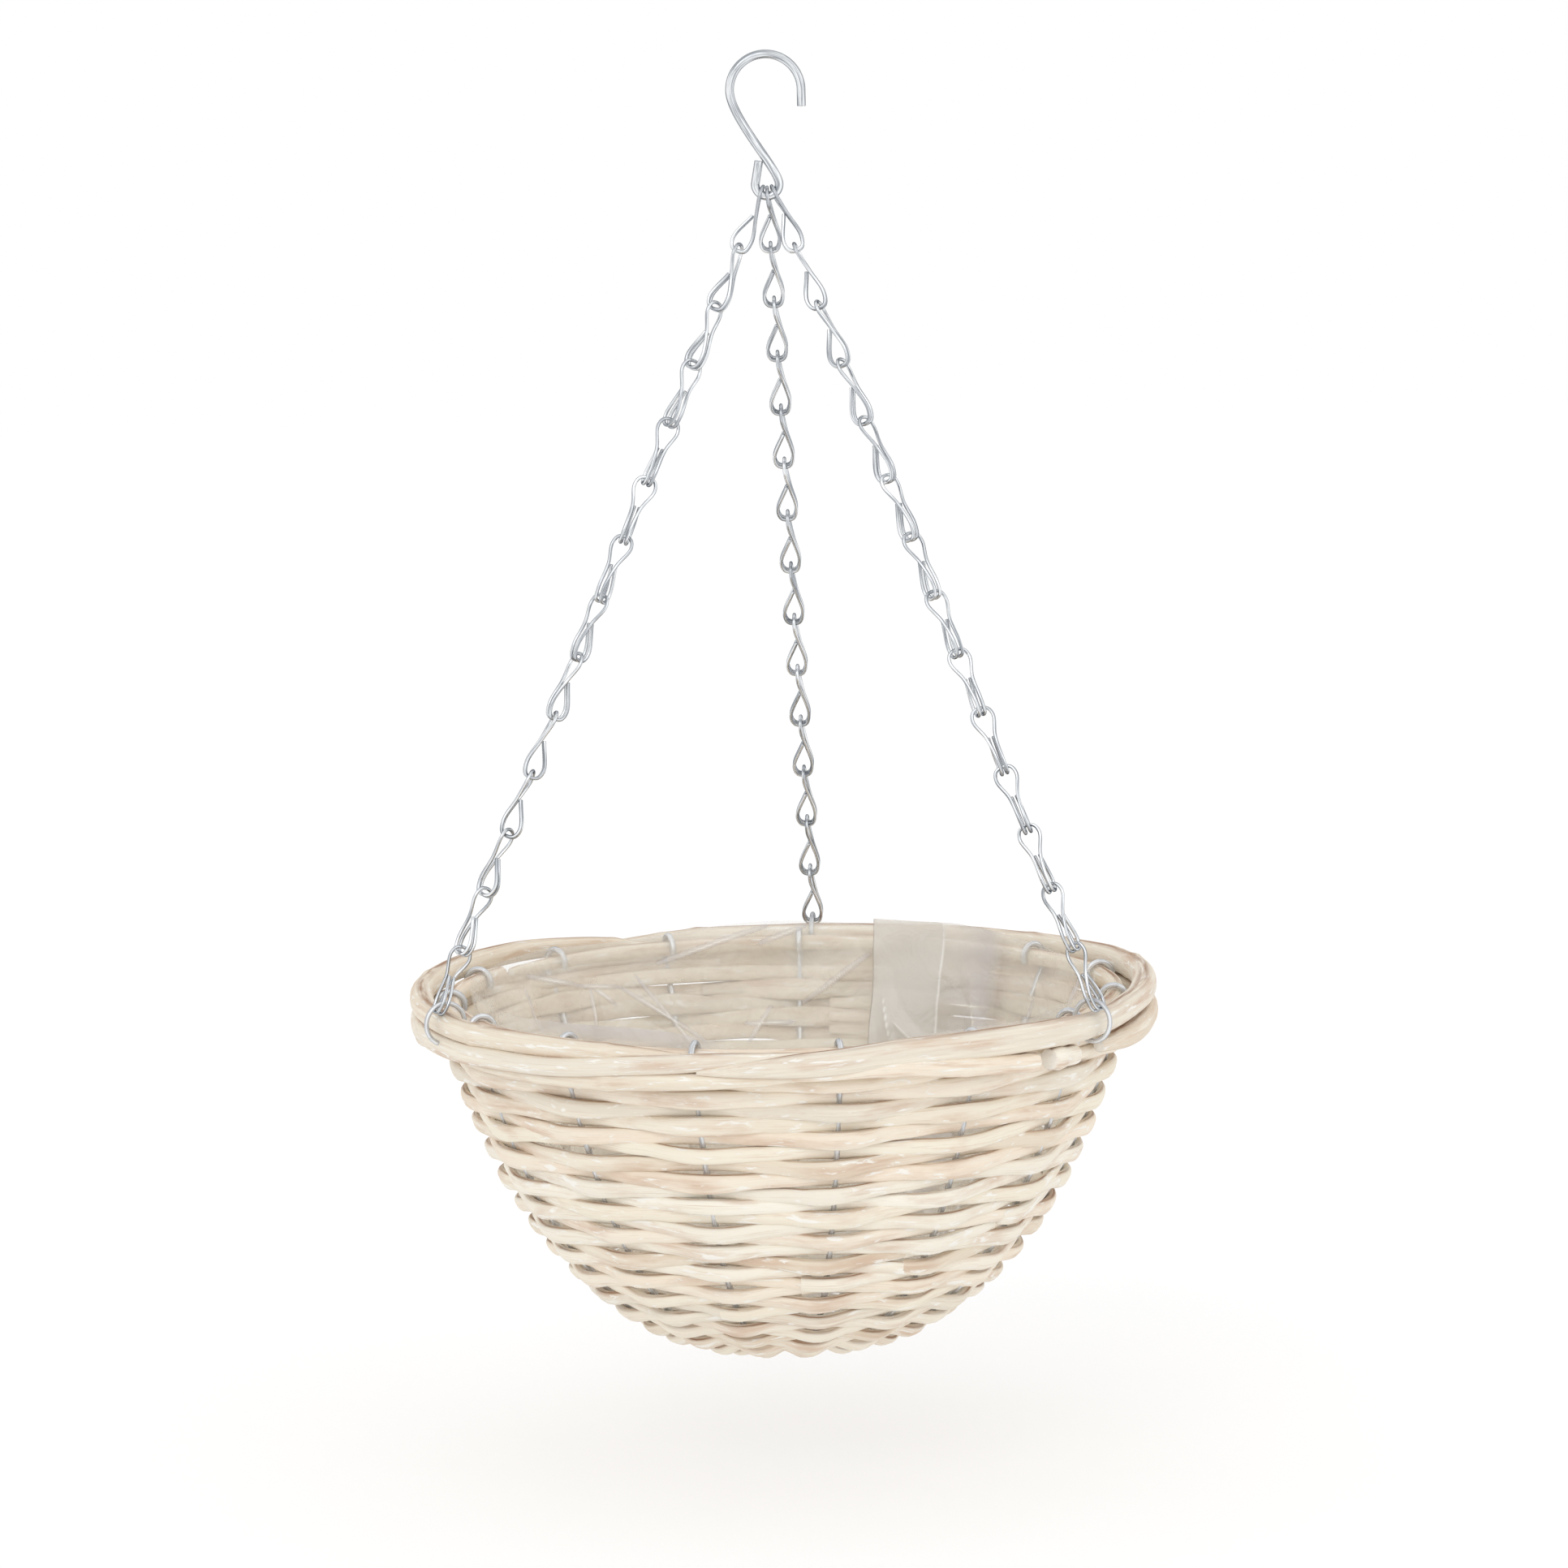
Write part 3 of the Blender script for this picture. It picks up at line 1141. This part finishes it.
def milkiness(columns, share, layer, fold, crease):
    """How milky the film is: in its creases, its pleat and seam, and along its edge."""
    edge = np.clip(1 - share * 90, 0, 1) * EDGE_MILK
    strip = loose_edge(columns) * np.clip(1.5 - share * 30, 0, 1) * LOOSE_MILK
    seam = np.exp(-(((columns - FOLD_END) / SEAM_WIDTH) ** 2)) * (np.clip(layer, 0, 1) > 0.3)
    pleat = np.clip(fold, 0, 1) * PLEAT_MILK
    return np.maximum.reduce([crease, pleat, np.maximum(edge, strip), seam * SEAM_MILK])


def make_liner():
    """A film bag pressed into the bowl, with one pleat at the rear right and many creases."""
    radius, depth, run, level = bag_profile()
    angle, layer = bag_columns()
    share = (run / run[-1])[:, None]
    columns = angle[None, :] + np.zeros((len(radius), 1))
    fold = np.clip(layer, 0, 2)[None, :] * (1 - share) ** 0.4
    crease, tent = bag_creases(columns, run)
    points = bag_points(columns, share, radius, depth, level, tent, fold)
    foot = (0.0, 0.0, float(points[-1, :, 2].mean()))
    mesh = bpy.data.meshes.new("film_bag")
    mesh.from_pydata(points.reshape(-1, 3).tolist() + [foot], [], bag_faces(len(radius)))
    shown = milkiness(columns, share, layer, fold, crease)
    add_attribute(mesh, "crease", np.append(shown.ravel(), FOOT_MILK))
    add_attribute(mesh, "grain", np.append(points.reshape(-1, 3), [[0, 0, 0]], axis=0))
    piece = add_piece(mesh, "film_bag", FILM, "basket", "film", "liner")


# Creases: from an angle and run down the bag to another, in degrees and mm, and the height in mm
CREASES = [
    (302, 10, 317, 19, 2.0), (317, 19, 326, 22, 2.0), (326, 22, 343, 52, 3.5), (355.6, 9, 364.6, 2, 1.5),
    (4, 35, 17, 13, 3.0), (335, 13, 357, 2, 2.0), (352.5, 54, 357.4, 37, 2.5), (319, 19, 324.5, 30, 2.0),
    (319, 19, 318, 45, 2.5), (20, 24, 24, 60, 2.0), (22, 40, 30, 56, 2.0), (352, 45, 362, 45, 1.5),
    (34, 33, 45, 33, 1.5), (330, 18, 352, 95, 3.0), (40, 20, 47, 90, 3.5), (58, 25, 52, 80, 2.5),
    (75, 10, 68, 60, 3.5), (85, 30, 100, 90, 3.0), (300, 15, 308, 85, 3.5), (285, 20, 276, 80, 3.0),
    (120, 20, 128, 90, 3.0), (150, 15, 140, 80, 3.0), (175, 20, 182, 100, 3.5), (205, 15, 196, 70, 3.0),
    (225, 20, 236, 90, 3.0), (250, 20, 242, 80, 3.5), (20, 110, 60, 150, 3.0), (300, 120, 340, 160, 3.0),
    (100, 120, 150, 165, 3.0), (200, 120, 250, 160, 3.0), (0, 150, 180, 200, 2.5),
]


# Stage

FLOOR_LEVEL = -0.659
FLOOR_RADIUS = 6.0
FLOOR_CORNERS = 96
FLOOR_GLOW = 1.08
FLOOR_GLOW_SHARE = 0.32
ROOM_LIGHT = 0.94
WHITE = (1.0, 1.0, 1.0, 1.0)
CAMERA_DISTANCE = 3.2
CAMERA_RISE = math.radians(9.44)
CAMERA_PITCH = math.radians(-7.8)
CAMERA_ROLL = math.radians(1.15)
CAMERA_YAW = math.radians(-0.04)
CAMERA_LENS = 156.5
CAMERA_SENSOR = 36.0
CAMERA_REACH = 100.0


def plain_shader(tree, kind, colour, strength=None):
    node = tree.nodes.new(kind)
    node.inputs["Color"].default_value = colour
    if strength is not None:
        node.inputs["Strength"].default_value = strength
    return node.outputs[0]


def mix_shaders(tree, share, first, second):
    node = tree.nodes.new("ShaderNodeMixShader")
    feed(tree, node.inputs[0], share)
    tree.links.new(first, node.inputs[1])
    tree.links.new(second, node.inputs[2])
    return node.outputs[0]


def seen_share(tree):
    """1 for rays that show the stage, straight, mirrored or through film, and 0 for its light."""
    path = tree.nodes.new("ShaderNodeLightPath")
    share = path.outputs["Is Camera Ray"]
    for kind in ("Is Glossy Ray", "Is Transmission Ray"):
        most = tree.nodes.new("ShaderNodeMath")
        most.operation = "MAXIMUM"
        tree.links.new(share, most.inputs[0])
        tree.links.new(path.outputs[kind], most.inputs[1])
        share = most.outputs[0]
    return share


def make_floor():
    """A white floor that glows a little where it is seen, and takes the basket's soft shadow."""
    mesh = bpy.data.meshes.new("floor")
    turns = [math.tau * k / FLOOR_CORNERS for k in range(FLOOR_CORNERS)]
    edge = [tuple(around(FLOOR_RADIUS, turn, FLOOR_LEVEL)) for turn in turns]
    mesh.from_pydata(edge, [], [tuple(range(FLOOR_CORNERS))[::-1]])
    floor = bpy.data.objects.new("floor", mesh)
    bpy.context.scene.collection.objects.link(floor)
    material = bpy.data.materials.new("pale_floor")
    material.use_nodes = True
    tree = material.node_tree
    tree.nodes.clear()
    diffuse = plain_shader(tree, "ShaderNodeBsdfDiffuse", WHITE)
    glow = plain_shader(tree, "ShaderNodeEmission", WHITE, FLOOR_GLOW)
    both = mix_shaders(tree, FLOOR_GLOW_SHARE, diffuse, glow)
    output = tree.nodes.new("ShaderNodeOutputMaterial")
    tree.links.new(mix_shaders(tree, seen_share(tree), diffuse, both), output.inputs["Surface"])
    mesh.materials.append(material)


def make_world():
    """A white room, seen a little brighter than it shines."""
    world = bpy.data.worlds.new("studio")
    bpy.context.scene.world = world
    world.use_nodes = True
    tree = world.node_tree
    tree.nodes.clear()
    room = plain_shader(tree, "ShaderNodeBackground", WHITE, ROOM_LIGHT)
    white = plain_shader(tree, "ShaderNodeBackground", WHITE, 1.0)
    output = tree.nodes.new("ShaderNodeOutputWorld")
    tree.links.new(mix_shaders(tree, seen_share(tree), room, white), output.inputs["Surface"])


def lamp(name, direction, strength, spread):
    """A soft sun that shines along a direction."""
    data = bpy.data.lights.new(name, "SUN")
    data.energy = strength
    data.angle = math.radians(spread)
    made = bpy.data.objects.new(name, data)
    made.rotation_euler = Vector(direction).to_track_quat("-Z", "Y").to_euler()
    bpy.context.scene.collection.objects.link(made)


def make_camera():
    """A long lens in front, a little above the rim and rolled a little."""
    data = bpy.data.cameras.new("camera")
    data.sensor_width = CAMERA_SENSOR
    data.lens = CAMERA_LENS
    data.clip_end = CAMERA_REACH
    camera = bpy.data.objects.new("camera", data)
    back = CAMERA_DISTANCE * math.cos(CAMERA_RISE)
    height = -RIM_DEPTH + CAMERA_DISTANCE * math.sin(CAMERA_RISE)
    turn = (
        Matrix.Rotation(CAMERA_YAW, 4, "Z")
        @ Matrix.Rotation(math.pi / 2 + CAMERA_PITCH, 4, "X")
        @ Matrix.Rotation(-CAMERA_ROLL, 4, "Z")
    )
    camera.matrix_world = Matrix.Translation((0.0, -back, height)) @ turn
    bpy.context.scene.collection.objects.link(camera)
    bpy.context.scene.camera = camera


make_hook()
make_chains()
make_rings()
make_frame()
make_border()
make_weave()
make_liner()
make_floor()
make_world()
lamp("key", (0.35, 0.85, -0.6), 0.3, 35)
lamp("fill", (-0.6, 0.6, -0.35), 0.2, 50)
make_camera()
bpy.context.scene.view_settings.view_transform = "Standard"
